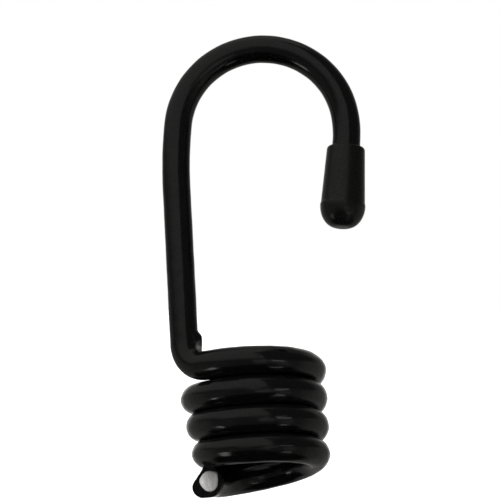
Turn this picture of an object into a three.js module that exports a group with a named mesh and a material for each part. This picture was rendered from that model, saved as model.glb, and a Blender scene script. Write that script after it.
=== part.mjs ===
// Wire end hook for an elastic cord: one coated steel wire and a soft tip cap.
// Millimetres, +Z up, +X to the open side of the bow. The hook hangs from its bow,
// with the origin on the inner side of the bow's crown, where a bar carries it.

import * as THREE from 'three';

// Wire and its coat
const coreDiameter = 3.0;
const coatWall = 0.6;
const coreClearance = 0.05;         // between the steel and the inside of its coat
const coreSetback = 0.15;           // the steel ends inside the coat's mouth

// Bow, from the shank over the crown to the arm; its plane turns about the shank
const easeRadius = 72;
const easeAngle = 8;
const shoulderRadius = 13.2;
const shoulderAngle = 23;
const crownRadius = 12.7;
const fallRadius = 13.1;
const fallAngle = 80.5;
const armEaseRadius = 18;
const armEaseAngle = 12;
const bowTurn = -5.5;

// Shank, and the tight bend that leads into the coil
const shankLength = 24.1;
const shankLeanLeft = 3.3;
const shankLeanBack = 13;
const footBendRadius = 3.8;
const leadLength = 1.3;

// Straight arm that shows between the bow and the cap
const armShown = 1.1;

// Coil: left-handed, its axis leaning to the right and forward on its way down
const coilRadius = 9.15;            // centreline, where the wire enters
const coilTaper = 0.36;             // less radius with each turn
const coilTurns = 3.82;
const tailLength = 3.2;              // straight, past the last turn
const turnGap = 0.12;               // between turns that are round, along the axis
const entryAngle = 230;
const coilLeanRight = 7.4;
const coilLeanForward = 13.3;

// Tip cap, measured along the arm
const capLength = 12.5;
const capRimDiameter = 5.75;
const capBodyDiameter = 6.65;
const capDomeDiameter = 6.85;
const capShoulder = 0.45;           // rounding of the rim
const capDomeLength = 3.4;
const capLedge = 0.5;               // height of the small step above the dome
const capTipFlat = 0.9;
const capClearance = 0.05;          // between the coat and the socket
const socketDepth = 9.6;
const socketFloorGap = 0.3;         // left under the end of the wire

// Fineness
const wireSides = 8;
const coilStepsPerTurn = 24;
const bendStep = 7.5;
const footBendSteps = 7;
const straightSteps = 3;
const tailSteps = 2;
const capSides = 28;
const domeSteps = 6;
const shoulderSteps = 3;

const coatDiameter = coreDiameter + 2 * coatWall;
const coatRadius = coatDiameter / 2;
const coilPitch = coatDiameter + turnGap;
const wireInCap = socketDepth - socketFloorGap;
const radians = THREE.MathUtils.degToRad;
const up = new THREE.Vector3( 0, 0, 1 );

const steelMaterial = new THREE.MeshStandardMaterial( { color: 0x9a9a98, roughness: 0.35, metalness: 1 } );
const coatMaterial = new THREE.MeshStandardMaterial( { color: 0x060606, roughness: 0.2, metalness: 0 } );
const capMaterial = new THREE.MeshStandardMaterial( { color: 0x0c0c0c, roughness: 0.5, metalness: 0 } );

// A station is a place on the centreline with the direction of travel there.
function station( place, heading ) {

	return { place: place.clone(), heading: heading.clone().normalize() };

}

function runStraight( route, length, steps ) {

	const from = route[ route.length - 1 ];

	for ( let i = 1; i <= steps; i ++ ) {

		const place = from.place.clone().addScaledVector( from.heading, length * i / steps );
		route.push( station( place, from.heading ) );

	}

}

// Turns the route towards a direction, through an angle, at a steady radius.
function runArc( route, towards, radius, angle, steps ) {

	const from = route[ route.length - 1 ];
	const inward = towards.clone().addScaledVector( from.heading, - towards.dot( from.heading ) ).normalize();

	for ( let i = 1; i <= steps; i ++ ) {

		const turned = angle * i / steps;
		const place = from.place.clone()
			.addScaledVector( from.heading, radius * Math.sin( turned ) )
			.addScaledVector( inward, radius * ( 1 - Math.cos( turned ) ) );
		const heading = from.heading.clone().multiplyScalar( Math.cos( turned ) )
			.addScaledVector( inward, Math.sin( turned ) );
		route.push( station( place, heading ) );

	}

}

function arcSteps( degrees ) {

	return Math.max( 2, Math.ceil( degrees / bendStep ) );

}

// The coil's centreline from the end of the lead, one station each 15 degrees.
function runCoil( route, axisDown, right, back ) {

	const entry = route[ route.length - 1 ].place;
	const steps = Math.round( coilTurns * coilStepsPerTurn );
	const start = radians( entryAngle );
	const coilPoint = ( turns ) => {

		const angle = start + turns * 2 * Math.PI;
		const radius = coilRadius - coilTaper * turns;
		return new THREE.Vector3()
			.addScaledVector( right, radius * Math.cos( angle ) )
			.addScaledVector( back, radius * Math.sin( angle ) )
			.addScaledVector( axisDown, coilPitch * turns );

	};

	const shift = entry.clone().sub( coilPoint( 0 ) );

	for ( let i = 1; i <= steps; i ++ ) {

		const turns = coilTurns * i / steps;
		const angle = start + turns * 2 * Math.PI;
		const radius = coilRadius - coilTaper * turns;
		const heading = new THREE.Vector3()
			.addScaledVector( right, - radius * Math.sin( angle ) * 2 * Math.PI - coilTaper * Math.cos( angle ) )
			.addScaledVector( back, radius * Math.cos( angle ) * 2 * Math.PI - coilTaper * Math.sin( angle ) )
			.addScaledVector( axisDown, coilPitch );
		route.push( station( coilPoint( turns ).add( shift ), heading ) );

	}

}

function makeCentreline() {

	const shankUp = new THREE.Vector3(
		- Math.tan( radians( shankLeanLeft ) ), Math.tan( radians( shankLeanBack ) ), 1 ).normalize();
	const turned = new THREE.Vector3( Math.cos( radians( bowTurn ) ), Math.sin( radians( bowTurn ) ), 0 );
	const bowRight = turned.addScaledVector( shankUp, - turned.dot( shankUp ) ).normalize();
	const crownAngle = Math.atan2( shankUp.z, - bowRight.z );
	const crownHeading = shankUp.clone().multiplyScalar( Math.cos( crownAngle ) )
		.addScaledVector( bowRight, Math.sin( crownAngle ) );
	const crownDown = shankUp.clone().multiplyScalar( - Math.sin( crownAngle ) )
		.addScaledVector( bowRight, Math.cos( crownAngle ) );
	const crownPlace = up.clone().multiplyScalar( coatRadius );

	// from the crown over the open side to the end of the wire inside the cap
	const armRoute = [ station( crownPlace, crownHeading ) ];
	runArc( armRoute, crownDown, fallRadius, radians( fallAngle ), arcSteps( fallAngle ) );
	runArc( armRoute, crownHeading.clone().negate(), armEaseRadius, radians( armEaseAngle ), arcSteps( armEaseAngle ) );
	runStraight( armRoute, armShown + wireInCap, straightSteps );

	// from the crown down the shank and into the coil
	const coilRoute = [ station( crownPlace, crownHeading.clone().negate() ) ];
	const crownShare = crownAngle - radians( easeAngle + shoulderAngle );
	runArc( coilRoute, crownDown, crownRadius, crownShare, arcSteps( THREE.MathUtils.radToDeg( crownShare ) ) );
	runArc( coilRoute, crownHeading, shoulderRadius, radians( shoulderAngle ), arcSteps( shoulderAngle ) );
	runArc( coilRoute, bowRight, easeRadius, radians( easeAngle ), arcSteps( easeAngle ) );
	runStraight( coilRoute, shankLength, straightSteps );

	const axisDown = new THREE.Vector3(
		Math.tan( radians( coilLeanRight ) ), - Math.tan( radians( coilLeanForward ) ), - 1 ).normalize();
	const coilRight = new THREE.Vector3( 1, 0, 0 );
	coilRight.addScaledVector( axisDown, - coilRight.dot( axisDown ) ).normalize();
	const coilBack = new THREE.Vector3().crossVectors( coilRight, axisDown );
	const entry = radians( entryAngle );
	const entryHeading = new THREE.Vector3()
		.addScaledVector( coilRight, - coilRadius * Math.sin( entry ) * 2 * Math.PI - coilTaper * Math.cos( entry ) )
		.addScaledVector( coilBack, coilRadius * Math.cos( entry ) * 2 * Math.PI - coilTaper * Math.sin( entry ) )
		.addScaledVector( axisDown, coilPitch ).normalize();
	const shankEnd = coilRoute[ coilRoute.length - 1 ];
	runArc( coilRoute, entryHeading, footBendRadius, shankEnd.heading.angleTo( entryHeading ), footBendSteps );
	runStraight( coilRoute, leadLength, 1 );
	const coilFrom = armRoute.length + coilRoute.length - 2;
	runCoil( coilRoute, axisDown, coilRight, coilBack );
	runStraight( coilRoute, tailLength, tailSteps );

	const towardsCrown = armRoute.reverse().map( ( s ) => station( s.place, s.heading.negate() ) );
	const route = towardsCrown.concat( coilRoute.slice( 1 ) );
	addSections( route, coilFrom, axisDown );
	return { route, coilFrom };

}

// Gives each station two directions across the wire. In the coil one of them follows
// the coil's axis, and from there up to the cap they are carried along without a twist.
function addSections( route, coilFrom, axisDown ) {

	for ( let i = route.length - 1; i >= 0; i -- ) {

		const s = route[ i ];
		const guide = i >= coilFrom ? axisDown : route[ i + 1 ].across;
		s.across = guide.clone().addScaledVector( s.heading, - guide.dot( s.heading ) ).normalize();
		s.beside = new THREE.Vector3().crossVectors( s.heading, s.across );

	}

}

// Moves a route's ends along the wire, inwards for a positive length.
function trimmed( route, atStart, atFoot ) {

	const ends = route.slice();
	const first = { ...route[ 0 ] };
	const last = { ...route[ route.length - 1 ] };
	first.place = first.place.clone().addScaledVector( first.heading, atStart );
	last.place = last.place.clone().addScaledVector( last.heading, - atFoot );
	ends[ 0 ] = first;
	ends[ ends.length - 1 ] = last;
	return ends;

}

// The corners of one ring; flat sides face along the coil's axis.
function ring( s, radius ) {

	const corners = [];

	for ( let k = 0; k < wireSides; k ++ ) {

		const angle = 2 * Math.PI * ( k + 0.5 ) / wireSides;
		corners.push( s.place.clone()
			.addScaledVector( s.across, radius * Math.cos( angle ) )
			.addScaledVector( s.beside, radius * Math.sin( angle ) ) );

	}

	return corners;

}

// Joins rings of corners into a strip of triangles that faces away from the wire.
function addSkin( corners, faces, rings, inward ) {

	const first = corners.length;
	rings.forEach( ( r ) => corners.push( ...r ) );

	for ( let i = 0; i < rings.length - 1; i ++ ) {

		for ( let k = 0; k < wireSides; k ++ ) {

			const next = ( k + 1 ) % wireSides;
			const a = first + i * wireSides + k;
			const b = first + i * wireSides + next;
			const c = a + wireSides;
			const d = b + wireSides;
			faces.push( ...( inward ? [ a, c, b, b, c, d ] : [ a, b, c, b, d, c ] ) );

		}

	}

	return first;

}

function solidFrom( corners, faces ) {

	const geometry = new THREE.BufferGeometry();
	const numbers = corners.flatMap( ( c ) => [ c.x, c.y, c.z ] );
	geometry.setAttribute( 'position', new THREE.Float32BufferAttribute( numbers, 3 ) );
	geometry.setIndex( faces );
	geometry.computeVertexNormals();
	return geometry;

}

function makeCore( route ) {

	const corners = [];
	const faces = [];
	const ends = trimmed( route, 0, coreSetback );
	const rings = ends.map( ( s ) => ring( s, coreDiameter / 2 ) );
	const first = addSkin( corners, faces, rings, false );
	const last = first + ( rings.length - 1 ) * wireSides;

	for ( let k = 1; k < wireSides - 1; k ++ ) {

		faces.push( first, first + k + 1, first + k );
		faces.push( last, last + k, last + k + 1 );

	}

	return solidFrom( corners, faces );

}

function makeCoat( route ) {

	const corners = [];
	const faces = [];
	const outer = addSkin( corners, faces, route.map( ( s ) => ring( s, coatRadius ) ), false );
	const bore = addSkin( corners, faces, route.map( ( s ) => ring( s, coreDiameter / 2 + coreClearance ) ), true );
	const lastRing = ( route.length - 1 ) * wireSides;

	for ( let k = 0; k < wireSides; k ++ ) {

		const next = ( k + 1 ) % wireSides;
		faces.push( outer + k, bore + k, outer + next, outer + next, bore + k, bore + next );
		faces.push( outer + lastRing + k, outer + lastRing + next, bore + lastRing + k );
		faces.push( outer + lastRing + next, bore + lastRing + next, bore + lastRing + k );

	}

	return solidFrom( corners, faces );

}

// Least distance between the coat's turns: each corner of a ring against the faces
// of the coat that lie more than half a turn away along the wire.
function leastTurnGap( route, coilFrom ) {

	const rings = route.map( ( s ) => ring( s, coatRadius ) );
	const face = new THREE.Triangle();
	const nearest = new THREE.Vector3();
	const apart = coilStepsPerTurn / 2;
	let least = Infinity;

	for ( let i = 0; i < rings.length; i ++ ) {

		for ( let j = Math.max( i + apart, coilFrom ); j < rings.length - 1; j ++ ) {

			if ( route[ i ].place.distanceTo( route[ j ].place ) > 2 * coilPitch ) continue;

			for ( let k = 0; k < wireSides; k ++ ) {

				const next = ( k + 1 ) % wireSides;
				const quad = [ rings[ j ][ k ], rings[ j ][ next ], rings[ j + 1 ][ k ], rings[ j + 1 ][ next ] ];

				for ( const corner of rings[ i ] ) {

					face.set( quad[ 0 ], quad[ 1 ], quad[ 2 ] ).closestPointToPoint( corner, nearest );
					least = Math.min( least, nearest.distanceTo( corner ) );
					face.set( quad[ 1 ], quad[ 3 ], quad[ 2 ] ).closestPointToPoint( corner, nearest );
					least = Math.min( least, nearest.distanceTo( corner ) );

				}

			}

		}

	}

	return least;

}

// Section of the cap, from the tip on the axis up the outside, over the rim and down
// the socket to its floor. The height runs from the tip to the rim.
function makeCapGeometry() {

	const half = ( diameter ) => diameter / 2;
	const socketRadius = ( coatRadius + capClearance ) / Math.cos( Math.PI / capSides );
	const flareAt = ( height ) => {

		const share = ( height - capDomeLength - capLedge ) / ( capLength - capDomeLength - capLedge );
		return THREE.MathUtils.lerp( half( capBodyDiameter ), half( capRimDiameter ), share );

	};

	const profile = [ new THREE.Vector2( 0, 0 ) ];

	for ( let i = 0; i <= domeSteps; i ++ ) {

		const angle = Math.PI / 2 * i / domeSteps;
		profile.push( new THREE.Vector2(
			capTipFlat + ( half( capDomeDiameter ) - capTipFlat ) * Math.sin( angle ),
			capDomeLength * ( 1 - Math.cos( angle ) ) ) );

	}

	profile.push( new THREE.Vector2( flareAt( capDomeLength + capLedge ), capDomeLength + capLedge ) );

	for ( let i = 0; i <= shoulderSteps; i ++ ) {

		const angle = Math.PI / 2 * i / shoulderSteps;
		profile.push( new THREE.Vector2(
			flareAt( capLength - capShoulder ) - capShoulder * ( 1 - Math.cos( angle ) ),
			capLength - capShoulder * ( 1 - Math.sin( angle ) ) ) );

	}

	profile.push( new THREE.Vector2( socketRadius, capLength ) );
	profile.push( new THREE.Vector2( socketRadius, capLength - socketDepth ) );
	profile.push( new THREE.Vector2( 0, capLength - socketDepth ) );
	return new THREE.LatheGeometry( profile, capSides );

}

const hook = new THREE.Group();
const { route, coilFrom } = makeCentreline();

const steelCore = new THREE.Mesh( makeCore( route ), steelMaterial );
steelCore.name = 'steel_core';
hook.add( steelCore );

const pvcSheath = new THREE.Mesh( makeCoat( route ), coatMaterial );
pvcSheath.name = 'pvc_sheath';
hook.add( pvcSheath );

const tipCap = new THREE.Mesh( makeCapGeometry(), capMaterial );
tipCap.name = 'tip_cap';
const wireEnd = route[ 0 ];
const capTipToWireEnd = capLength - wireInCap;
tipCap.quaternion.setFromUnitVectors( new THREE.Vector3( 0, 1, 0 ), wireEnd.heading );
tipCap.position.copy( wireEnd.place ).addScaledVector( wireEnd.heading, - capTipToWireEnd );
hook.add( tipCap );

console.log( `least gap between turns of the coat: ${ leastTurnGap( route, coilFrom ).toFixed( 3 ) } mm` );

export default hook;
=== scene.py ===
import math
import bpy
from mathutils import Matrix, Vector, noise


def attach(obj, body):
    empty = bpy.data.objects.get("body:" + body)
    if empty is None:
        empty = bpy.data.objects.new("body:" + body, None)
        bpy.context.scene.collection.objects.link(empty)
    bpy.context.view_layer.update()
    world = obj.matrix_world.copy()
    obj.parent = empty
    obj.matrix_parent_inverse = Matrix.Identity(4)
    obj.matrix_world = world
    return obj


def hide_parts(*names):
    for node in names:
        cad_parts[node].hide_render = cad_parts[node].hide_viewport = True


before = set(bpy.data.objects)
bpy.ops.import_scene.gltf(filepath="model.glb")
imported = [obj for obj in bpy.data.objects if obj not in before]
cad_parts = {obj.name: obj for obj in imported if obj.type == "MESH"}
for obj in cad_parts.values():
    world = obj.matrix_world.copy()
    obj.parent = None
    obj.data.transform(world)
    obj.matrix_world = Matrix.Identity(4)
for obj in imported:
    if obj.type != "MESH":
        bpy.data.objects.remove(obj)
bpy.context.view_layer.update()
mm = 0.001  # one millimetre in metres
print("frame loaded, nodes:", ", ".join(sorted(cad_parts)))

# The wire's centreline in millimetres and degrees, with the same sizes as the CAD source
route = {
    "coatDiameter": 4.2,
    # the bow, from the shank over the crown to the arm in the cap
    "crownRadius": 12.7, "shoulderRadius": 13.2, "shoulderAngle": 23, "easeRadius": 72, "easeAngle": 8,
    "fallRadius": 13.1, "fallAngle": 80.5, "armEaseRadius": 18, "armEaseAngle": 12, "bowTurn": -5.5,
    "armShown": 1.1, "wireInCap": 9.3,
    # the shank and the tight bend under it
    "shankLength": 24.1, "shankLeanLeft": 3.3, "shankLeanBack": 13,
    "footBendRadius": 3.8, "leadLength": 1.3,
    # the coil, with taper and pitch per turn
    "coilRadius": 9.15, "coilTaper": 0.36, "coilTurns": 3.82, "coilPitch": 4.32, "entryAngle": 230,
    "coilLeanRight": 7.4, "coilLeanForward": 13.3, "tailLength": 3.2,
    # how far the turns slide along the axis in mm, and from which turn on
    "coilSettle": {"down": 0.12, "by": 0.3, "perTurn": 0.08, "openFrom": 2.9, "open": 0.186},
    # how closely the sections stand, in mm
    "step": 0.5, "bendStep": 0.18, "bendApproach": 3.6, "tailStep": 0.16, "coilStepsPerTurn": 120,
    "sectionSides": 72,
}


# 0 up to 1 with a soft start and a soft end
def smooth(share):
    share = min(max(share, 0), 1)
    return share * share * (3 - 2 * share)


def runStraight(stations, length, step):
    place, heading = stations[-1]
    count = math.ceil(length / step)
    for i in range(1, count + 1):
        stations.append((place + heading * (length * i / count), heading))


def runArc(stations, towards, radius, degrees, step):
    place, heading = stations[-1]
    inward = (towards - heading * towards.dot(heading)).normalized()
    count = math.ceil(radius * math.radians(degrees) / step)
    for i in range(1, count + 1):
        a = math.radians(degrees) * i / count
        along = heading * math.sin(a) + inward * (1 - math.cos(a))
        stations.append((place + along * radius, heading * math.cos(a) + inward * math.sin(a)))


# The coil's radius, the way out from its axis and the way round it, some turns from its start
def coilSpoke(turns, right, back):
    a = math.radians(route["entryAngle"]) + 2 * math.pi * turns
    outward = right * math.cos(a) + back * math.sin(a)
    onward = back * math.cos(a) - right * math.sin(a)
    return route["coilRadius"] - route["coilTaper"] * turns, outward, onward


def coilHeading(turns, right, back, axis):
    radius, outward, onward = coilSpoke(turns, right, back)
    sweep = onward * (radius * 2 * math.pi)
    shrink = outward * route["coilTaper"]
    return (sweep - shrink + axis * route["coilPitch"]).normalized()


# The turns settle against each other, and the last one springs open towards the cut
def coilSettle(turns):
    settle = route["coilSettle"]
    opened = smooth((turns - settle["openFrom"]) / (route["coilTurns"] - settle["openFrom"]))
    settled = settle["down"] * smooth(turns / settle["by"]) - settle["perTurn"] * turns
    return settled + settle["open"] * opened


def runCoil(stations, right, back, axis):
    def spot(turns):
        radius, outward = coilSpoke(turns, right, back)[:2]
        return outward * radius + axis * (route["coilPitch"] * turns + coilSettle(turns))

    start = stations[-1][0] - spot(0)
    count = round(route["coilTurns"] * route["coilStepsPerTurn"])
    for i in range(1, count + 1):
        turns = route["coilTurns"] * i / count
        stations.append((start + spot(turns), coilHeading(turns, right, back, axis)))


# The whole wire as places and headings, from its end in the cap to the cut at the foot of the coil
def makeWire():
    leanLeft = math.tan(math.radians(route["shankLeanLeft"]))
    leanBack = math.tan(math.radians(route["shankLeanBack"]))
    shankUp = Vector((-leanLeft, leanBack, 1)).normalized()
    turn = math.radians(route["bowTurn"])
    across = Vector((math.cos(turn), math.sin(turn), 0))
    bowRight = (across - shankUp * across.dot(shankUp)).normalized()
    crownAngle = math.atan2(shankUp.z, -bowRight.z)
    crownHeading = shankUp * math.cos(crownAngle) + bowRight * math.sin(crownAngle)
    crownDown = bowRight * math.cos(crownAngle) - shankUp * math.sin(crownAngle)
    step = route["step"]

    # from the crown down into the cap, then turned round
    arm = [(Vector((0, 0, route["coatDiameter"] / 2)), crownHeading)]
    runArc(arm, crownDown, route["fallRadius"], route["fallAngle"], step)
    runArc(arm, -crownHeading, route["armEaseRadius"], route["armEaseAngle"], step)
    runStraight(arm, route["armShown"] + route["wireInCap"], step)
    wire = [(place, -heading) for place, heading in reversed(arm)]

    # from the crown down the shank
    crownShare = math.degrees(crownAngle) - route["easeAngle"] - route["shoulderAngle"]
    runArc(wire, crownDown, route["crownRadius"], crownShare, step)
    runArc(wire, crownHeading, route["shoulderRadius"], route["shoulderAngle"], step)
    runArc(wire, bowRight, route["easeRadius"], route["easeAngle"], step)
    runStraight(wire, route["shankLength"] - route["bendApproach"], step)
    runStraight(wire, route["bendApproach"], route["bendStep"])

    # round the tight bend into the coil
    leanRight = math.tan(math.radians(route["coilLeanRight"]))
    leanForward = math.tan(math.radians(route["coilLeanForward"]))
    axis = Vector((leanRight, -leanForward, -1)).normalized()
    right = (Vector((1, 0, 0)) - axis * axis.x).normalized()
    back = right.cross(axis)
    entry = coilHeading(0, right, back, axis)
    bendAt = len(wire) - 1
    bendAxis = wire[-1][1].cross(entry).normalized()
    bendAngle = math.degrees(wire[-1][1].angle(entry))
    runArc(wire, entry, route["footBendRadius"], bendAngle, route["bendStep"])
    runStraight(wire, route["leadLength"], route["bendStep"])
    coilAt = len(wire) - 1
    runCoil(wire, right, back, axis)
    runStraight(wire, route["tailLength"], route["tailStep"])
    return wire, {"bendAt": bendAt, "bendAxis": bendAxis, "coilAt": coilAt, "coilAxis": axis}


# Two directions across the wire at each station, carried along it without a twist
def carrySides(wire):
    side = Vector((0, 1, 0))
    sides = []
    for place, heading in wire:
        side = (side - heading * side.dot(heading)).normalized()
        sides.append((side, heading.cross(side)))
    return sides


def runLengths(wire):
    lengths = [0.0]
    for i in range(1, len(wire)):
        lengths.append(lengths[-1] + (wire[i][0] - wire[i - 1][0]).length)
    return lengths


wire, marks = makeWire()
wireSides = carrySides(wire)
wireRun = runLengths(wire)
print("centreline:", len(wire), "stations,", round(wireRun[-1], 1), "mm of wire")


def placeObject(name, data):
    obj = bpy.data.objects.new(name, data)
    bpy.context.scene.collection.objects.link(obj)
    return obj


# A smooth piece from points in mm; the cut faces take its second material
def newPiece(name, points, faces, cutFaces=()):
    mesh = bpy.data.meshes.new(name)
    mesh.from_pydata([point * mm for point in points], [], faces)
    mesh.validate()
    mesh.polygons.foreach_set("use_smooth", [True] * len(mesh.polygons))
    for k in cutFaces:
        mesh.polygons[k].material_index = 1
    return placeObject(name, mesh)


# Joins rings of equal count one after another, with a fan over each end if they are closed
def skinRings(rings, closed=False):
    points = [point for ring in rings for point in ring]
    count = len(rings[0])
    faces = []
    for k in range(len(rings) - 1):
        for j in range(count):
            a = k * count + j
            b = k * count + (j + 1) % count
            faces.append((a, b, b + count, a + count))
    if closed:
        points.append(sum(rings[0], Vector()) / count)
        faces += [((j + 1) % count, j, len(points) - 1) for j in range(count)]
        last = (len(rings) - 1) * count
        points.append(sum(rings[-1], Vector()) / count)
        faces += [(last + j, last + (j + 1) % count, len(points) - 1) for j in range(count)]
    return points, faces


coat = {
    "radius": 2.13, "bore": 1.53,
    "waves": ((0.02, 0.4), (0.016, 0.9), (0.004, 2.3)),  # height in mm, waves per mm
    # where a turn lies on the next one, in mm and turns
    "turnContact": 0.035, "contactPower": 6, "leadContact": 0.125, "leadReach": 0.07,
    "tailContact": 0.2, "tailReach": (3.3, 3.7),
    # swelling on the outside of the coil, less on a side that has no neighbour
    "coilSwell": 0.14, "swellBy": 0.125, "swellSide": 0.5, "bareSide": 1.6,
    # unevenness left by the coiling: height in mm, waves round the wire and per mm along it
    "streaks": {"height": 0.042, "around": 4.0, "along": 0.42},
    # the fold: mm along the wire from the bend's start, degrees round from its inner side
    "pucker": {
        "start": -2.1, "full": -0.8, "end": 3.0, "tall": 0.66,
        "foot": 16, "footShift": 26, "footFrom": -1.2, "crest": -20, "back": -80,
        "crease": 0.09, "creaseWidth": 6,
    },
    # the cut, in mm and in degrees round from the picture's right
    "squeezeReach": 4.5, "flareReach": 0.8, "cutEdge": 0.09, "cutPit": 0.12, "cutGrain": 2.3,
    "pinch": {"facing": 278, "width": 48, "depth": 0.18, "back": 2.2, "length": 1.6},
    "hood": {"facing": 84, "width": 29, "out": 0.9, "lift": 0.48, "ragged": 0.6},  # flap over the steel
    "tear": {"facing": -18, "width": 60, "length": 1.1},  # runs back along the outside
    "cutFace": (  # share of the way in from the rim, height of the edge, height of the flap
        (0.04, 0.7, 0.75), (0.12, 1.0, 1.0), (0.35, 1.0, 0.7),
        (0.6, 0.9, 0.3), (0.85, 0.7, 0.08), (1.0, 0.2, 0),
    ),
    "cutOutline": (  # degrees, distance from the wire's middle in mm
        (0, 2.02), (40, 2.12), (80, 2.34), (108, 2.36), (121, 2.2), (140, 2.1), (158, 2.14), (175, 2.4),
        (189, 2.66), (206, 2.76), (225, 2.64), (240, 2.46), (254, 2.18), (270, 2.06), (290, 2.0),
        (312, 1.86), (335, 1.86),
    ),
    # rings of the bore, counted in stations back from the cut
    "boreStride": 3, "mouthRings": 3, "boreFrom": 15,
}

core = {
    "radius": 1.5, "cutReach": 1.8, "cutShift": (-0.09, 0.36),
    "capEndGap": 2, "stride": 3, "fineStations": 14,  # all in stations; the fine ones are at the cut
    "cutOutline": (
        (0, 1.38), (25, 1.48), (47, 1.74), (68, 1.57), (92, 1.53), (120, 1.42), (150, 1.37), (180, 1.45),
        (205, 1.36), (235, 1.34), (260, 1.48), (285, 1.53), (308, 1.53), (332, 1.44),
    ),
    "lip": 0.03,  # room between the steel's outline and the torn face
    # rounded edge and face of the cut: share of the outline, height in mm
    "bevel": ((0.985, -0.05), (0.95, 0.02), (0.9, 0.05)),
    "faceRings": 7, "faceShare": 0.84, "faceHeight": 0.06,
    "faceGrain": 1.3, "faceUnevenness": 0.035, "evenRim": 0.96,
}


# A hump of height 1 that falls away with distance
def bump(distance, width):
    return math.exp(-(distance / width) ** 2)


# The fold on the inside of the tight bend: a flat front flank, a crest and a sharp lower lip
def puckerHeight(run, heading, outward):
    fold = coat["pucker"]
    inward = marks["bendAxis"].cross(heading)
    across = math.degrees(math.atan2(outward.dot(marks["bendAxis"]), outward.dot(inward)))
    rise = smooth((run - fold["start"]) / (fold["full"] - fold["start"]))
    drop = 1 - max(run / fold["end"], 0) ** 2
    shift = smooth((run - fold["footFrom"]) / (fold["end"] - fold["footFrom"]))
    foot = fold["foot"] - fold["footShift"] * shift
    if across > fold["crest"]:
        around = max((foot - across) / (foot - fold["crest"]), 0)
    else:
        around = smooth((across - fold["back"]) / (fold["crest"] - fold["back"]))
    crease = fold["crease"] * bump(across - foot, fold["creaseWidth"])
    return rise * drop * (fold["tall"] * around - crease)


# The radius, in one direction, of an outline given by a few points, on a smooth curve through them
def outlineRadius(degrees, outline):
    count = len(outline)
    k = max(i for i in range(count) if outline[i][0] <= degrees)
    before, here, after, beyond = (outline[(k + i) % count][1] for i in (-1, 0, 1, 2))
    width = (outline[(k + 1) % count][0] - outline[k][0]) % 360
    t = (degrees - outline[k][0]) / width
    bend = 2 * before - 5 * here + 4 * after - beyond
    twist = 3 * here - before - 3 * after + beyond
    return here + (t * (after - before) + t * t * bend + t * t * t * twist) / 2


# Right and up as seen from the wire's end
def pictureAxes(heading):
    right = (Vector((1, 0, 0)) - heading * heading.x).normalized()
    return right, right.cross(-heading)


def degreesRound(direction, right, up):
    return math.degrees(math.atan2(direction.dot(up), direction.dot(right)))


def waysOut(i):
    u, v = wireSides[i]
    angles = [2 * math.pi * j / route["sectionSides"] for j in range(route["sectionSides"])]
    return [u * math.cos(a) + v * math.sin(a) for a in angles]


def roundRing(i, radius):
    return [wire[i][0] + outward * radius for outward in waysOut(i)]


# A ring of the cut section, seen from the wire's end, shifted off the wire's middle
def cutRing(i, settings, shift=(0, 0), grow=0):
    place, heading = wire[i]
    right, up = pictureAxes(heading)
    ring = []
    for outward in waysOut(i):
        radius = outlineRadius(degreesRound(outward, right, up) % 360, settings["cutOutline"]) + grow
        ring.append(place + outward * radius + right * shift[0] + up * shift[1])
    return ring


# The coat swells on the outside of the coil, is uneven from the coiling, and bulges a little
# where one turn lies on the next
def coilFit(i, outward):
    downward = outward.dot(marks["coilAxis"])
    fromStart = (i - marks["coilAt"]) / route["coilStepsPerTurn"]
    neighbour = fromStart > 1 if downward < 0 else fromStart < route["coilTurns"] - 1
    contact = coat["turnContact"] if neighbour else 0
    if downward > 0:
        contact += coat["leadContact"] * bump(fromStart, coat["leadReach"])
    else:
        first, full = coat["tailReach"]
        contact += coat["tailContact"] * smooth((fromStart - first) / (full - first))
    begun = smooth(fromStart / coat["swellBy"])
    outside = marks["coilAxis"].cross(wire[i][1])
    swell = coat["coilSwell"] * begun * smooth(outward.dot(outside) / coat["swellSide"])
    if not neighbour:
        swell *= 1 - smooth(coat["bareSide"] * abs(downward))
    u, v = wireSides[i]
    drawn = Vector((outward.dot(u), outward.dot(v), 0)) * coat["streaks"]["around"]
    drawn.z = wireRun[i] * coat["streaks"]["along"]
    streak = coat["streaks"]["height"] * noise.noise(drawn) * begun
    return contact * abs(downward) ** coat["contactPower"] + swell + streak


# Presses the coat near the cut towards the outline of the cut
def squeezeRing(i, ring):
    place, heading = wire[i]
    toEnd = wireRun[-1] - wireRun[i]
    right, up = pictureAxes(heading)
    pinch = coat["pinch"]
    pressed = pinch["depth"] * bump(toEnd - pinch["back"], pinch["length"])
    squeezed = []
    for point, target in zip(ring, cutRing(i, coat)):
        outward = (target - place).normalized()
        facing = degreesRound(outward, right, up) % 360
        flares = (target - place).length > coat["radius"]
        reach = coat["flareReach"] if flares else coat["squeezeReach"]
        point = point - outward * pressed * bump(facing - pinch["facing"], pinch["width"])
        squeezed.append(point.lerp(target, smooth(1 - toEnd / reach)))
    return squeezed


def coatRing(i):
    place, heading = wire[i]
    fromBend = wireRun[i] - wireRun[marks["bendAt"]]
    ring = []
    for point in roundRing(i, coat["radius"]):
        outward = (point - place).normalized()
        height = sum(tall * noise.noise(point * often) for tall, often in coat["waves"])
        if coat["pucker"]["start"] < fromBend < coat["pucker"]["end"]:
            height += puckerHeight(fromBend, heading, outward)
        if fromBend > 0:
            height += coilFit(i, outward)
        ring.append(point + outward * height)
    if wireRun[-1] - wireRun[i] < coat["squeezeReach"]:
        ring = squeezeRing(i, ring)
    return ring


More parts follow.
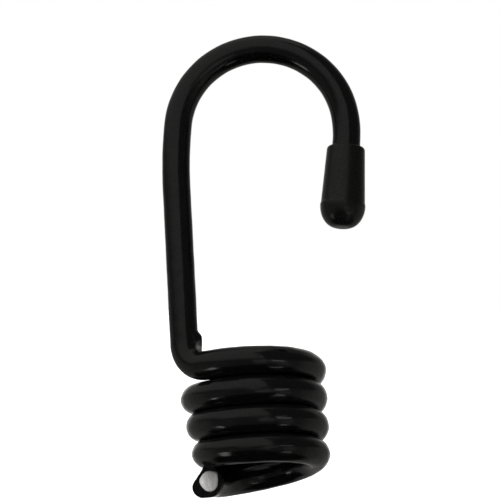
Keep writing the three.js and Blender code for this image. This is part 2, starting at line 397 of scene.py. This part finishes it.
# The torn face from the coat's rim in to the steel, with the flap that stands over the steel
def cutFaceRings(outer):
    place, heading = wire[-1]
    right, up = pictureAxes(heading)
    hood = coat["hood"]
    inner = cutRing(len(wire) - 1, core, core["cutShift"], core["lip"])
    rings = []
    for share, rise, flap in coat["cutFace"]:
        ring = []
        for rim, hole in zip(outer, inner):
            point = rim.lerp(hole, share)
            facing = degreesRound(rim - place, right, up) % 360
            pits = noise.noise(point * coat["cutGrain"])
            rough = coat["cutPit"] * pits + coat["cutEdge"] * rise
            standing = flap * bump(facing - hood["facing"], hood["width"]) * (1 + hood["ragged"] * pits)
            lift = (rim - place).normalized() * (hood["lift"] * standing)
            ring.append(point + heading * (rough + hood["out"] * standing) + lift)
        rings.append(ring)
    return rings


# The coat's bore, from the cut back to the end in the cap
def boreRings():
    last = len(wire) - 1
    stride = coat["boreStride"]
    rings = []
    for i in range(last - stride, last - (coat["mouthRings"] + 1) * stride, -stride):
        blend = smooth((wireRun[-1] - wireRun[i]) / core["cutReach"])
        pressed = cutRing(i, core, core["cutShift"], core["lip"])
        rings.append([a.lerp(b, blend) for a, b in zip(pressed, roundRing(i, coat["bore"]))])
    for i in (*range(last - coat["boreFrom"], 0, -stride), 0):
        rings.append(roundRing(i, coat["bore"]))
    return rings


# The faces of the tear, which runs back from the cut along the coat's outside
def tearFaces(outer):
    place, heading = wire[-1]
    right, up = pictureAxes(heading)
    tear = coat["tear"]
    faces = []
    for j, rim in enumerate(outer):
        facing = degreesRound(rim - place, right, up)
        length = tear["length"] * bump(facing - tear["facing"], tear["width"])
        faces += [k * len(outer) + j for k in range(len(wire) - 1) if wireRun[-1] - wireRun[k] < length]
    return faces


def makeCoat():
    rings = [coatRing(i) for i in range(len(wire))]
    outer = rings[-1]
    count = len(outer)
    cutFace = cutFaceRings(outer)
    firstCut = (len(wire) - 1) * count
    torn = [*range(firstCut, firstCut + len(cutFace) * count), *tearFaces(outer)]
    points, faces = skinRings(rings + cutFace + boreRings())
    start = len(points) - count  # from the bore's last ring to the coat's first, at the end in the cap
    faces += [(start + j, start + (j + 1) % count, (j + 1) % count, j) for j in range(count)]
    return newPiece("coatedWire", points, faces, torn)


def makeCore():
    last = len(wire) - 1
    fine = last - core["fineStations"]
    rings = []
    for i in (*range(core["capEndGap"], fine, core["stride"]), *range(fine, last + 1)):
        cut = smooth(1 - (wireRun[-1] - wireRun[i]) / core["cutReach"])
        pressed = cutRing(i, core, core["cutShift"])
        rings.append([a.lerp(b, cut) for a, b in zip(roundRing(i, core["radius"]), pressed)])
    heading = wire[-1][1]
    rim = rings[-1]
    middle = sum(rim, Vector()) / len(rim)
    steps = list(core["bevel"])
    for k in range(core["faceRings"]):
        steps.append((core["faceShare"] * (1 - k / core["faceRings"]), core["faceHeight"]))
    for share, height in steps:
        ring = []
        unevenness = core["faceUnevenness"] if share < core["evenRim"] else 0
        for point in rim:
            spot = middle + (point - middle) * share
            ring.append(spot + heading * (height + unevenness * noise.noise(spot * core["faceGrain"])))
        rings.append(ring)
    return newPiece("steelWire", *skinRings(rings, closed=True))


cap = {
    "length": 12.5, "rimDiameter": 5.75, "bodyDiameter": 6.65, "domeDiameter": 6.85,
    "shoulder": 0.45, "domeLength": 3.4, "ledge": 0.5, "tipFlat": 0.9,
    "socketDepth": 9.6, "socketGap": 0.03, "mouthRound": 0.12, "mouthFlare": 0.06, "mouthDrop": 0.024,
    # how closely the sections stand
    "sides": 96, "tipShares": (0.3, 0.7, 1.0), "domeSteps": 26, "ledgeSteps": 5, "bodySteps": 26,
    "rimSteps": 8, "socketSteps": 6,
    # the dent in the tip: degrees round the cap, place and size in mm
    "dimple": {"turn": 259.5, "height": 1.2, "width": 0.65, "tall": 0.55, "depth": 0.14},
}


# Radius and height above the tip, from the tip up the outside, over the rim and down the socket
def capProfile():
    length, dome, ledge, shoulder = (cap[k] for k in ("length", "domeLength", "ledge", "shoulder"))
    domeRadius = cap["domeDiameter"] / 2
    foot = dome + ledge
    top = length - shoulder

    def flare(height):
        share = (height - foot) / (length - foot)
        return (cap["bodyDiameter"] * (1 - share) + cap["rimDiameter"] * share) / 2

    profile = [(cap["tipFlat"] * share, 0.0) for share in cap["tipShares"]]
    for i in range(1, cap["domeSteps"] + 1):
        a = math.pi / 2 * i / cap["domeSteps"]
        radius = cap["tipFlat"] + (domeRadius - cap["tipFlat"]) * math.sin(a)
        profile.append((radius, dome * (1 - math.cos(a))))
    for i in range(1, cap["ledgeSteps"] + 1):
        share = smooth(i / cap["ledgeSteps"])
        radius = domeRadius * (1 - share) + flare(foot) * share
        profile.append((radius, dome + ledge * i / cap["ledgeSteps"]))
    for i in range(1, cap["bodySteps"] + 1):
        height = foot + (top - foot) * i / cap["bodySteps"]
        profile.append((flare(height), height))
    for i in range(1, cap["rimSteps"] + 1):
        a = math.pi / 2 * i / cap["rimSteps"]
        profile.append((flare(top) - shoulder * (1 - math.cos(a)), top + shoulder * math.sin(a)))
    socketRadius = coat["radius"] + cap["socketGap"]
    mouth = length - cap["mouthRound"]
    profile.append((socketRadius + cap["mouthFlare"], length - cap["mouthDrop"]))
    for i in range(cap["socketSteps"] + 1):
        share = i / cap["socketSteps"]
        profile.append((socketRadius, mouth - (cap["socketDepth"] - cap["mouthRound"]) * share))
    return profile


def makeCap():
    start, heading = wire[0]
    tip = start - heading * (cap["length"] - route["wireInCap"])
    u = Vector((0, 1, 0)).cross(heading).normalized()
    v = heading.cross(u)
    dimple = cap["dimple"]
    turn = math.radians(dimple["turn"])
    dimpled = len(cap["tipShares"]) + cap["domeSteps"]
    rings = []
    for k, (radius, height) in enumerate(capProfile()):
        ring = []
        for j in range(cap["sides"]):
            a = 2 * math.pi * j / cap["sides"]
            outward = u * math.cos(a) + v * math.sin(a)
            point = tip + heading * height + outward * radius
            if k < dimpled:
                aside = bump(radius * math.sin(a - turn), dimple["width"])
                above = bump(height - dimple["height"], dimple["tall"])
                press = aside * above * max(math.cos(a - turn), 0)
                inward = (heading * (cap["domeLength"] - height) - outward * radius).normalized()
                point += inward * dimple["depth"] * press
            ring.append(point)
        rings.append(ring)
    return newPiece("endCap", *skinRings(rings, closed=True))


coatedWire = makeCoat()
steelWire = makeCore()
endCap = makeCap()
for obj, node in ((coatedWire, "pvc_sheath"), (steelWire, "steel_core"), (endCap, "tip_cap")):
    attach(obj, "root")
    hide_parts(node)
print("pieces made:", ", ".join(obj.name for obj in (coatedWire, steelWire, endCap)))

mixFirst, mixSecond, mixResult = 6, 7, 2  # the Mix node's sockets when it mixes colours


def newMaterial(name, sockets):
    material = bpy.data.materials.new(name)
    material.use_nodes = True
    shader = material.node_tree.nodes["Principled BSDF"]
    for socket, value in sockets.items():
        shader.inputs[socket].default_value = value
    return material, material.node_tree, shader


# A node with its settings, and with a link or a plain value on each socket that is named
def addNode(tree, kind, links=(), **settings):
    node = tree.nodes.new(kind)
    for name, value in settings.items():
        setattr(node, name, value)
    for socket, value in links:
        if isinstance(value, bpy.types.NodeSocket):
            tree.links.new(value, node.inputs[socket])
        else:
            node.inputs[socket].default_value = value
    return node


def combine(tree, operation, first, second, clamp=False):
    links = ((0, first), (1, second))
    return addNode(tree, "ShaderNodeMath", links, operation=operation, use_clamp=clamp).outputs[0]


def vectorMath(tree, operation, first, second):
    return addNode(tree, "ShaderNodeVectorMath", ((0, first), (1, second)), operation=operation)


def mixColours(tree, share, first, second):
    links = (("Factor", share), (mixFirst, first), (mixSecond, second))
    return addNode(tree, "ShaderNodeMix", links, data_type="RGBA").outputs[mixResult]


def spread(tree, value, low, high, start=0.0, end=1.0):
    links = (("Value", value), ("From Min", start), ("From Max", end), ("To Min", low), ("To Max", high))
    return addNode(tree, "ShaderNodeMapRange", links).outputs[0]


def objectPlace(tree):
    return addNode(tree, "ShaderNodeTexCoord").outputs["Object"]


# Noise through the piece; the scale is in waves per metre
def grain(tree, scale, detail, roughness=0.5):
    links = (("Vector", objectPlace(tree)), ("Scale", scale), ("Detail", detail), ("Roughness", roughness))
    return addNode(tree, "ShaderNodeTexNoise", links).outputs["Fac"]


# Values that change over the piece: which part of the noise counts, and what it becomes
def mottle(tree, spots):
    return spread(tree, grain(tree, *spots["grain"]), *spots["value"], *spots["noise"])


def pressBump(tree, shader, relief):
    height = grain(tree, *relief["grain"])
    made = addNode(tree, "ShaderNodeBump", (("Height", height), ("Distance", relief["depth"])))
    tree.links.new(made.outputs["Normal"], shader.inputs["Normal"])


# 1 at a place on the piece, falling to 0 at a reach given for each axis in mm
def nearTo(tree, place, reach):
    away = vectorMath(tree, "SUBTRACT", objectPlace(tree), place).outputs[0]
    away = vectorMath(tree, "MULTIPLY", away, [1 / (side * mm) for side in reach]).outputs[0]
    away = addNode(tree, "ShaderNodeVectorMath", ((0, away),), operation="LENGTH").outputs["Value"]
    return spread(tree, away, 1, 0)


# Finishes: grain is scale, detail and, where it isn't 0.5, roughness of the noise
coatFinish = {
    "ior": 1.5, "specular": 0.5, "colour": (0.002, 0.002, 0.0021, 1),
    "gloss": {"grain": (900, 4), "noise": (0.3, 0.7), "value": (0.1, 0.2)},
    "relief": {"grain": (2200, 3), "depth": 0.00001},
}
foldHighlight = {  # painted highlight on the fold, a pale patch in the coat's colour: mm from the bend's start, degrees round, mm above the coat
    "run": 2.8, "across": -18, "out": 0.1, "reach": (0.95, 1.5, 1.55), "colour": (0.26, 0.26, 0.255, 1),
    "streaks": {"grain": (1700, 3), "noise": (0.35, 0.65), "value": (0.35, 1.25)},
}
scuff = {  # rubbed dull beside the cut: lengths in mm
    "notLast": 20, "aside": 1.2, "ahead": 2.8, "lean": 0.75, "reach": (2.3, 2.2, 1.1),
    "rough": 0.75, "specular": 0.1, "edge": (0.12, 0.3),
    "ragged": {"grain": (2000, 3), "noise": (0.35, 0.65), "value": (-0.15, 0.15)},
}
tornFinish = {
    "ior": 1.4, "specular": 0.4, "colour": (0.0015, 0.0015, 0.0015, 1),
    "gloss": {"grain": (1800, 4), "noise": (0.3, 0.7), "value": (0.28, 0.8)},
    "relief": {"grain": (1500, 5, 0.65), "depth": 0.0004},
}
capFinish = {
    "ior": 1.48, "colour": (0.003, 0.003, 0.0029, 1),
    "gloss": {"grain": (1200, 4), "noise": (0.3, 0.7), "value": (0.24, 0.36)},
    "relief": {"grain": (3000, 4), "depth": 0.000012},
}
steelFinish = {
    "metallic": 0.5, "dull": (0.52, 0.51, 0.5, 1), "bright": (0.97, 0.96, 0.95, 1),
    "shearUp": -0.35, "shearReach": (-0.6, 1.3),  # where dull turns to bright across the face, in mm
    "tones": {"grain": (1100, 5, 0.6), "noise": (0.3, 0.7), "value": (-0.35, 0.35)},
    "scratchScale": (2600, 2600, 800), "scratchDetail": 3, "scratchNoise": (0.3, 0.46), "scratchDepth": 0.75,
    "gloss": {"grain": (1500, 4), "noise": (0.3, 0.7), "value": (0.3, 0.5)},
    "relief": {"grain": (2500, 5), "depth": 0.00002},
}


# The middle of the painted highlight, a pale patch on the fold in the tight bend, in metres
def foldHighlightPlace():
    target = wireRun[marks["bendAt"]] + foldHighlight["run"]
    place, heading = wire[min(range(len(wire)), key=lambda k: abs(wireRun[k] - target))]
    a = math.radians(foldHighlight["across"])
    outward = marks["bendAxis"].cross(heading) * math.cos(a) + marks["bendAxis"] * math.sin(a)
    return (place + outward * (coat["radius"] + foldHighlight["out"])) * mm


# The middle of the patch that the torn edge has rubbed dull on the turn above it, in metres
def scuffPlace():
    end = wire[-1][0]
    beside = end + Vector((scuff["aside"], -scuff["ahead"], 0))
    above = [wire[k][0] for k in range(len(wire)) if wireRun[-1] - wireRun[k] > scuff["notLast"]]
    nearest = min(above, key=lambda place: (place - beside).length)
    outward = ((end - nearest).normalized() + Vector((0, -scuff["lean"], 0))).normalized()
    return (nearest + outward * coat["radius"]) * mm


def paintCoat():
    material, tree, shader = newMaterial("glossyBlackPvc", {"IOR": coatFinish["ior"]})
    # the pale patch mixed into the black here is a painted highlight on the fold
    highlighted = nearTo(tree, foldHighlightPlace(), foldHighlight["reach"])
    pale = combine(tree, "MULTIPLY", highlighted, mottle(tree, foldHighlight["streaks"]), clamp=True)
    colour = mixColours(tree, pale, coatFinish["colour"], foldHighlight["colour"])
    tree.links.new(colour, shader.inputs["Base Color"])
    scuffed = nearTo(tree, scuffPlace(), scuff["reach"])
    rubbed = spread(tree, combine(tree, "ADD", scuffed, mottle(tree, scuff["ragged"])), 0, 1, *scuff["edge"])
    roughness = spread(tree, rubbed, mottle(tree, coatFinish["gloss"]), scuff["rough"])
    tree.links.new(roughness, shader.inputs["Roughness"])
    specular = spread(tree, rubbed, coatFinish["specular"], scuff["specular"])
    tree.links.new(specular, shader.inputs["Specular IOR Level"])
    pressBump(tree, shader, coatFinish["relief"])
    return material


# The face that the cutter tore through the coat
def paintCoatCut():
    material, tree, shader = newMaterial("tornBlackPvc", {
        "Base Color": tornFinish["colour"], "IOR": tornFinish["ior"],
        "Specular IOR Level": tornFinish["specular"],
    })
    tree.links.new(mottle(tree, tornFinish["gloss"]), shader.inputs["Roughness"])
    pressBump(tree, shader, tornFinish["relief"])
    return material


def paintCap():
    material, tree, shader = newMaterial("satinBlackVinyl", {
        "Base Color": capFinish["colour"], "IOR": capFinish["ior"]})
    tree.links.new(mottle(tree, capFinish["gloss"]), shader.inputs["Roughness"])
    pressBump(tree, shader, capFinish["relief"])
    return material


# Dull on one side of the shear and bright on the other, with fine scratches
def paintCore():
    material, tree, shader = newMaterial("shearedSteel", {"Metallic": steelFinish["metallic"]})
    place, heading = wire[-1]
    right, up = pictureAxes(heading)
    spot = objectPlace(tree)
    shear = (up * steelFinish["shearUp"] - right).normalized()
    along = vectorMath(tree, "DOT_PRODUCT", spot, shear).outputs["Value"]
    low, high = ((place.dot(shear) + side) * mm for side in steelFinish["shearReach"])
    tones = combine(tree, "ADD", spread(tree, along, 0, 1, low, high), mottle(tree, steelFinish["tones"]))
    drawn = vectorMath(tree, "MULTIPLY", spot, steelFinish["scratchScale"]).outputs[0]
    scratches = addNode(tree, "ShaderNodeTexNoise", (
        ("Vector", drawn), ("Scale", 1), ("Detail", steelFinish["scratchDetail"]))).outputs["Fac"]
    dark = spread(tree, scratches, steelFinish["scratchDepth"], 0, *steelFinish["scratchNoise"])
    tones = combine(tree, "SUBTRACT", tones, dark, clamp=True)
    colour = mixColours(tree, tones, steelFinish["dull"], steelFinish["bright"])
    tree.links.new(colour, shader.inputs["Base Color"])
    tree.links.new(mottle(tree, steelFinish["gloss"]), shader.inputs["Roughness"])
    pressBump(tree, shader, steelFinish["relief"])
    return material


coatedWire.data.materials.append(paintCoat())
coatedWire.data.materials.append(paintCoatCut())
endCap.data.materials.append(paintCap())
steelWire.data.materials.append(paintCore())
print("materials made")

floorLook = {"height": -0.13, "size": 6.0, "colour": (0.8, 0.8, 0.8, 1), "roughness": 0.9, "lift": 0.75}
white = (1, 1, 1, 1)


# A white floor that the gloss doesn't mirror
def makeFloor():
    half = floorLook["size"] / 2
    height = floorLook["height"]
    corners = [(-half, -half, height), (half, -half, height), (half, half, height), (-half, half, height)]
    mesh = bpy.data.meshes.new("floor")
    mesh.from_pydata(corners, [], [(0, 1, 2, 3)])
    floor = placeObject("floor", mesh)
    floor.visible_glossy = False
    material, tree, shader = newMaterial("whiteFloor", {
        "Base Color": floorLook["colour"], "Roughness": floorLook["roughness"]})
    camera = addNode(tree, "ShaderNodeLightPath").outputs["Is Camera Ray"]
    lift = combine(tree, "MULTIPLY", camera, floorLook["lift"])
    glow = addNode(tree, "ShaderNodeEmission", (("Color", white), ("Strength", lift)))
    both = addNode(tree, "ShaderNodeAddShader", ((0, shader.outputs[0]), (1, glow.outputs[0])))
    tree.links.new(both.outputs[0], tree.nodes["Material Output"].inputs["Surface"])
    mesh.materials.append(material)


# The room that the gloss mirrors. A wall fades in between the two heights of its foot, in degrees,
# and between the two shares of its turn, from -1 to 1 towards the back (the right wall: the front).
room = {
    "radiance": 0.12, "sideRadiance": 0.21, "sideTurn": (-0.35, 0.1),
    "wallEdge": 20, "edgeSoftness": 0.04, "wallFoot": (6, 27),
    "leftWall": 0.35, "leftBack": 0.27, "leftTurn": (-0.3, 0.5),
    "rightWall": 0.06, "rightFoot": (-2, 12), "rightTurn": (-0.75, -0.3),
    "backdrop": 0.8, "backdropTurn": (0.74, 1.0), "backdropFoot": (-42, -8),
    "shades": (  # degrees right, degrees up, full radius, faded radius, radiance
        (-14, -2, 14, 32, 0.08),
        (-8, -75, 40, 54, 0.006),
    ),
    "zenith": (180, 78, 14, 22, 0.33),
    "glows": (  # degrees right, degrees up, radius, radiance
        (-66, -37, 7.5, 1.9),
        (14, -4, 14, 0.34),
        (48, -18, 13, 0.25),
    ),
    "glowFull": 0.6, "glowFaded": 1.2,  # shares of a glow's radius
    "tint": (1, 0.985, 0.955, 1),
}


def directionTo(azimuth, elevation):
    az = math.radians(azimuth)
    el = math.radians(elevation)
    return (math.sin(az) * math.cos(el), -math.cos(az) * math.cos(el), math.sin(el))


def makeWorld():
    world = bpy.data.worlds.new("studio")
    bpy.context.scene.world = world
    world.use_nodes = True
    tree = world.node_tree
    direction = addNode(tree, "ShaderNodeTexCoord").outputs["Generated"]
    front, back, above = (0, -1, 0), (0, 1, 0), (0, 0, 1)

    def facing(towards, start, end):
        dot = vectorMath(tree, "DOT_PRODUCT", direction, towards).outputs["Value"]
        links = (("Value", dot), ("From Min", start), ("From Max", end))
        return addNode(tree, "ShaderNodeMapRange", links, interpolation_type="SMOOTHSTEP").outputs[0]

    def higher(degrees):
        return facing(above, *(math.sin(math.radians(side)) for side in degrees))

    def disc(azimuth, elevation, full, faded):
        start, end = (math.cos(math.radians(side)) for side in (faded, full))
        return facing(directionTo(azimuth, elevation), start, end)

    left = facing(directionTo(room["wallEdge"] - 90, 0), -room["edgeSoftness"], room["edgeSoftness"])
    leftUpper = combine(tree, "MULTIPLY", left, higher(room["wallFoot"]))
    rightUpper = combine(tree, "MULTIPLY", higher(room["rightFoot"]), facing(front, *room["rightTurn"]))
    radiance = spread(tree, facing(back, *room["sideTurn"]), room["radiance"], room["sideRadiance"])
    radiance = spread(tree, rightUpper, radiance, room["rightWall"])
    for *place, shade in room["shades"]:
        radiance = spread(tree, disc(*place), radiance, shade)
    leftWall = spread(tree, facing(back, *room["leftTurn"]), room["leftWall"], room["leftBack"])
    radiance = spread(tree, leftUpper, radiance, leftWall)
    *place, zenith = room["zenith"]
    radiance = spread(tree, disc(*place), radiance, zenith)
    for azimuth, elevation, radius, glow in room["glows"]:
        spot = disc(azimuth, elevation, radius * room["glowFull"], radius * room["glowFaded"])
        radiance = combine(tree, "MAXIMUM", radiance, combine(tree, "MULTIPLY", spot, glow))

    # only mirrors see the backdrop, and only the camera sees plain white
    rays = addNode(tree, "ShaderNodeLightPath").outputs
    mirrored = combine(tree, "MAXIMUM", rays["Is Glossy Ray"], rays["Is Transmission Ray"])
    backdrop = combine(tree, "MULTIPLY", facing(back, *room["backdropTurn"]), room["backdrop"])
    backdrop = combine(tree, "MULTIPLY", backdrop, higher(room["backdropFoot"]))
    radiance = combine(tree, "MAXIMUM", radiance, combine(tree, "MULTIPLY", mirrored, backdrop))
    radiance = combine(tree, "MAXIMUM", radiance, rays["Is Camera Ray"])
    colour = mixColours(tree, rays["Is Camera Ray"], room["tint"], white)
    tree.links.new(colour, tree.nodes["Background"].inputs["Color"])
    tree.links.new(radiance, tree.nodes["Background"].inputs["Strength"])


sunLook = {"strength": 3.0, "angle": 40, "place": (-0.5, -0.7, 1.0)}
cards = {  # small soft lamps: where they stand, what they face and how large they are, in mm
    "sideCard": {
        "place": (33, -50, -47.5), "faces": (2, -17, -50), "size": (22, 7), "radiance": 0.9, "spread": 180,
    },
    "lowCard": {
        "place": (51, -62, -112), "faces": (4, -12, -45), "size": (21, 14), "radiance": 1.2, "spread": 180,
    },
}


def aimAlong(lamp, direction):
    lamp.rotation_euler = direction.to_track_quat("-Z", "Y").to_euler()


def makeCard(name, card):
    data = bpy.data.lights.new(name, "AREA")
    data.shape = "RECTANGLE"
    data.size, data.size_y = (side * mm for side in card["size"])
    data.energy = card["radiance"] * math.pi * data.size * data.size_y
    data.spread = math.radians(card["spread"])
    lamp = placeObject(name, data)
    lamp.location = Vector(card["place"]) * mm
    lamp.visible_camera = False
    aimAlong(lamp, Vector(card["faces"]) - Vector(card["place"]))


def makeSun():
    data = bpy.data.lights.new("softSun", "SUN")
    data.energy = sunLook["strength"]
    data.angle = math.radians(sunLook["angle"])
    sun = placeObject("softSun", data)
    sun.visible_glossy = False
    aimAlong(sun, -Vector(sunLook["place"]))


cameraView = {"place": (-1.874, -303.0, -28.875), "lens": 141.43, "sensorWidth": 36.0}  # in mm


def makeCamera():
    data = bpy.data.cameras.new("photoCamera")
    data.lens = cameraView["lens"]
    data.sensor_width = cameraView["sensorWidth"]
    data.sensor_fit = "HORIZONTAL"
    camera = placeObject("photoCamera", data)
    camera.location = Vector(cameraView["place"]) * mm
    camera.rotation_euler = (math.pi / 2, 0, 0)
    bpy.context.scene.camera = camera


makeFloor()
makeWorld()
makeSun()
for name, card in cards.items():
    makeCard(name, card)
makeCamera()
bpy.context.scene.view_settings.view_transform = "Standard"
print("studio made")
